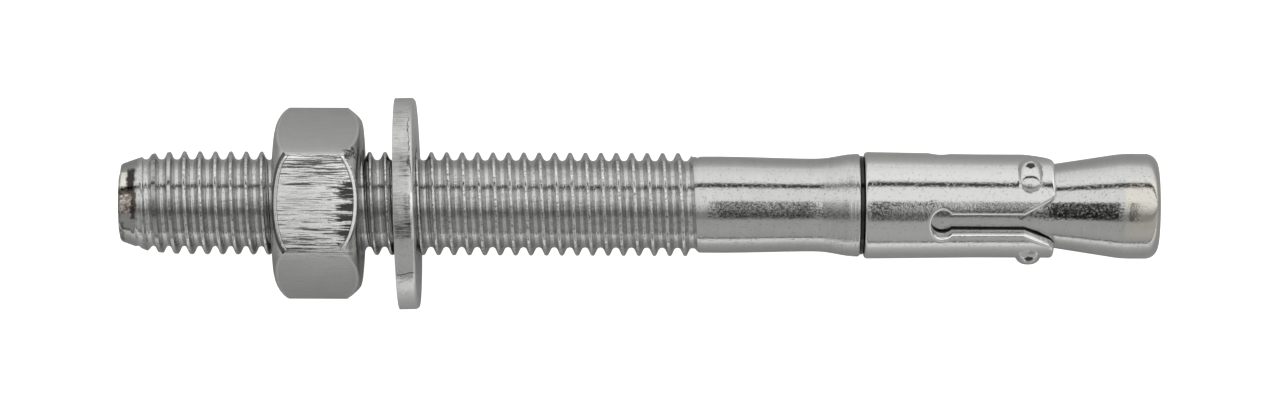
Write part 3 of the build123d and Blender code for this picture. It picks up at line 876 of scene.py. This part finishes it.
def nut_zinc():
    """Nut: scored on its flats, most of all on the upper one, with painted highlights on the rims round the
    flats, painted shade lines beside them and painted shade on its slanted flats.
    """
    material, n, shader = new_material("nut_zinc")
    place = upright_place(n)
    x, y, z, radius = n.coordinates(place)
    reach = n.math("ABSOLUTE", x)
    for side in (1, -1):
        slanted = n.plus(n.times(x, 0.5), n.times(y, side * sin(radians(60))))
        reach = n.most(reach, n.math("ABSOLUTE", slanted))
    flat = n.fade(reach, NUT_FLAT - 0.06, NUT_FLAT - 0.02)
    from_low = n.less(n.less(z, NUT_LOW), arc_depth(n, radius, NUT_DOME))
    from_high = n.less(n.less(NUT_HIGH, z), arc_depth(n, radius, NUT_CHAMFER))
    # painted highlight on the rims round the flats
    rim = n.most(n.band(from_low, *NUT_RIM_HIGHLIGHTS[0], 0.04), n.band(from_high, *NUT_RIM_HIGHLIGHTS[1], 0.04))
    # painted shade lines inside the rims, and at the fold below
    outline = n.most(n.band(from_low, *NUT_SHADE_LINES[0], 0.03), n.band(from_high, *NUT_SHADE_LINES[1], 0.03))
    outline = n.times(outline, flat)
    fold_shade = n.times(n.band(from_low, *NUT_FOLD_SHADE, 0.03), n.fade(x, 9.0, 9.2))
    rim = n.times(rim, flat)
    front = n.fade(x, 9.3, 9.4)
    worn = n.times(front, n.less(1.0, rim))
    below = n.times(n.fade(x, 7.6, 9.3), n.fade(y, 5.1, 5.6))
    skin = use(n, SKIN, Place=place, Grain=0.3, Turning=0.0, Cloud=0.1)
    amount = n.most(worn, n.most(n.times(below, 0.5), n.times(flat, 0.05)))
    marks = use(n, SCORED, Place=place, Amount=amount)
    gouged_part = n.times(stained(n, place, *NUT_GOUGES), worn)
    denser = n.fade(z, 24.2, 26.6, -0.13, 0.06)
    gouged = n.fade(n.plus(n.noise(place, 1.0, 3.0, 0.65, (0.5, 4.6, 0.4)), denser), 0.45, 0.51)
    gouges = n.times(gouged_part, gouged)
    dark = n.most(n.times(marks["Dark"], 0.88), n.times(gouges, 0.97))
    # the dark marks take in the painted shade lines
    dark = n.most(dark, n.times(outline, n.blend(front, 0.1, 0.85)))
    dark = n.most(dark, n.times(fold_shade, 0.9))
    hollow = n.noise(place, 1.9, 3.0, 0.7)
    nick = stained(n, place, *NUT_NICK)
    dark = n.most(dark, n.times(nick, n.fade(hollow, 0.4, 0.56, 0.3, 0.98)))
    # painted shade: the lower slanted flat darker, the upper one a little darker
    side = n.plus(n.fade(y, 5.0, 6.5, 0.0, -0.24), n.fade(y, -5.6, -6.5, 0.0, -0.08))
    colour = n.mix(worn, toned(n, NUT_ZINC, n.plus(skin["Tone"], side)), WORN_FLAT)
    # painted highlight on the rims, strongest on the front flat
    colour = n.mix(n.times(rim, n.blend(front, 0.12, 1.0)), colour, RIM_HIGHLIGHT)
    # this dark colour is for the scratches, gouges and nick, and for the painted shade lines
    colour = n.mix(dark, colour, SCRATCH_AND_SHADE)
    rough = n.plus(n.plus(skin["Roughness"], 0.14), n.times(worn, 0.08))
    height = n.plus(skin["Height"], n.times(marks["Height"], 1.8))
    height = n.less(height, n.times(gouges, 1.5))
    finish(n, shader, colour, rough, height, NUT_RELIEF)
    return material


# dark scars on the washer's rim: from and to across it, from the upper to the lower edge, strength
WASHER_SCARS = [(0.1, 0.75, -1.0, 3.8, 1.0), (-1.0, 0.1, 1.9, 3.9, 0.9), (-0.4, 0.7, -5.6, -3.0, 0.9),
                (-1.2, 0.7, -10.5, 1.5, 0.3)]
WASHER_HATCH = (0.2, 2.2, 0.1)  # how the dark specks are stretched into hatching
# lines on the rim, from and to: (across it), (from the upper to the lower edge)
EDGE_LINE, CRACK = ((0.5, 0.6), (-9.6, -5.8)), ((-0.95, 0.95), (7.82, 7.92))


def washer_zinc():
    """Washer: rough where its rim was torn, smooth by the rounded edge, with a painted highlight along it and
    a short crack below.
    """
    material, n, shader = new_material("washer_zinc")
    place = upright_place(n, WASHER_LEAN)
    x, y, z, radius = n.coordinates(place)
    rim = n.fade(radius, 11.6, 11.9)
    wander = n.noise(place, 0.7, 2.0)
    border = n.plus(z, n.times(n.less(wander, 0.5), 1.1))
    smooth_part = n.fade(n.plus(y, n.times(wander, 2.0)), 4.6, 5.6, 1.0, 0.3)
    rough_part = n.times(n.times(rim, n.fade(border, 0.72, 0.45)), smooth_part)
    skin = use(n, SKIN, Place=place, Grain=0.5, Turning=0.0, Cloud=0.12)
    marks = use(n, TORN, Place=place, Amount=rough_part)
    colour = toned(n, ZINC, skin["Tone"])
    colour = n.mix(n.times(marks["Dark"], 0.25), colour, DARK_ZINC)
    colour = speckled(n, place, colour, WASHER_SCARS, WASHER_HATCH)
    # painted highlight in a band along the rounded edge
    edge_highlight = n.times(n.times(n.band(z, 0.8, 1.1, 0.05), n.band(y, -1.2, 3.9, 0.3)), rim)
    colour = n.mix(edge_highlight, colour, PAINTED_HIGHLIGHT)
    edge_line = n.times(n.band(border, *EDGE_LINE[0], 0.05), n.band(y, *EDGE_LINE[1], 0.3))
    bend = n.times(n.math("SINE", n.times(z, 2.4)), 0.12)
    crack = n.times(n.band(n.plus(y, bend), *CRACK[1], 0.05), n.band(z, *CRACK[0], 0.1))
    line = n.times(n.most(edge_line, crack), n.times(rim, 0.85))
    colour = n.mix(n.times(line, n.fade(x, 0.5, 2.0)), colour, SHADE_AND_SOOT)
    rough = n.plus(n.plus(skin["Roughness"], 0.08), n.times(rough_part, 0.16))
    height = n.plus(skin["Height"], n.times(marks["Height"], 1.6))
    finish(n, shader, colour, rough, height, WASHER_RELIEF)
    return material


for make, dress, body, node, slot_name in (
    (bolt, bolt_zinc, "bolt", "anchor_bolt", "bolt_zinc"),
    (hex_nut, nut_zinc, "nut", "hex_nut", "nut_zinc"),
    (washer, washer_zinc, "washer", "washer", "washer_zinc"),
    (clip, clip_zinc, "clip", "expansion_clip", "clip_zinc"),
):
    piece = make()
    piece.data.materials.clear()
    piece.data.materials.append(dress())
    only(piece)
    bpy.ops.object.shade_smooth_by_angle(angle=SMOOTH_ANGLE)
    lay_down(piece, body, node)


def floor():
    """Pale floor: white to the camera, and to gloss far behind the anchor."""
    bpy.ops.object.select_all(action="DESELECT")
    bpy.ops.mesh.primitive_plane_add(size=FLOOR_SIZE, location=(0, 0, FLOOR_PLACE))
    sheet = bpy.context.object
    sheet.name = "floor"
    bpy.ops.object.transform_apply(location=True)
    material, n, shader = new_material("floor_paper")
    shader.inputs["Base Color"].default_value = FLOOR_GREY
    shader.inputs["Roughness"].default_value = 0.9
    shader.inputs["Specular IOR Level"].default_value = 0.0
    shader.inputs["Emission Color"].default_value = (1, 1, 1, 1)
    rays = n.add("LightPath").outputs
    apart = n.add("SeparateXYZ", _0=n.add("TexCoord").outputs["Object"])
    aside = n.math("ABSOLUTE", apart.outputs["Y"])
    behind = n.add("MapRange", Value=aside, From_Min=GLOSS_START, From_Max=GLOSS_END, To_Max=GLOSS_GLOW)
    gloss = n.times(n.most(rays["Is Glossy Ray"], rays["Is Transmission Ray"]), behind.outputs[0])
    n.put(n.most(rays["Is Camera Ray"], gloss), shader.inputs["Emission Strength"])
    sheet.data.materials.append(material)


def tent():
    """Light tent round the anchor: bright walls with dark seams, set by the angle about the bolt's axis."""
    world = bpy.data.worlds.new("tent")
    bpy.context.scene.world = world
    world.use_nodes = True
    n = Nodes(world.node_tree)
    place = n.add("TexCoord").outputs["Generated"]
    across, outwards, along = (
        n.add("VectorMath", {"operation": "DOT_PRODUCT"}, _0=place, _1=direction).outputs["Value"]
        for direction in ((0, 1, 0), toward, axis))
    round_axis = n.math("MULTIPLY_ADD", n.math("ARCTAN2", across, outwards), 1 / (2 * pi), 0.5)
    lengthwise = n.math("MULTIPLY_ADD", along, 0.5, 0.5)
    walls = n.ramp(round_axis, [((180 + angle) / 360, tone) for angle, tone in TENT_WALLS])
    seam = n.ramp(round_axis, [((180 + angle) / 360, dark) for angle, dark in TENT_SEAM])
    seam_here = n.ramp(lengthwise, [((1 + share) / 2, dark) for share, dark in TENT_SEAM_LENGTH])
    light = n.times(walls, n.less(1.0, n.times(seam, seam_here)))
    rays = n.add("LightPath").outputs
    n.put(n.most(light, rays["Is Camera Ray"]), world.node_tree.nodes["Background"].inputs["Color"])


def camera():
    """The photograph's view: square to the bolt's axis."""
    data = bpy.data.cameras.new("camera")
    data.sensor_width = SENSOR
    data.lens = LENS
    eye = bpy.data.objects.new("camera", data)
    bpy.context.scene.collection.objects.link(eye)
    aim = tip + axis * (PHOTO_MIDDLE * MM) + Vector((0, PHOTO_RISE * MM, 0))
    look = Matrix((axis, toward.cross(axis), toward)).transposed()
    eye.matrix_world = (Matrix.Translation(aim + toward * CAMERA_DISTANCE) @ look.to_4x4()
                        @ Matrix.Rotation(PHOTO_ROLL, 4, "Z"))
    bpy.context.scene.camera = eye


floor()
tent()
camera()
bpy.context.scene.view_settings.view_transform = "Standard"
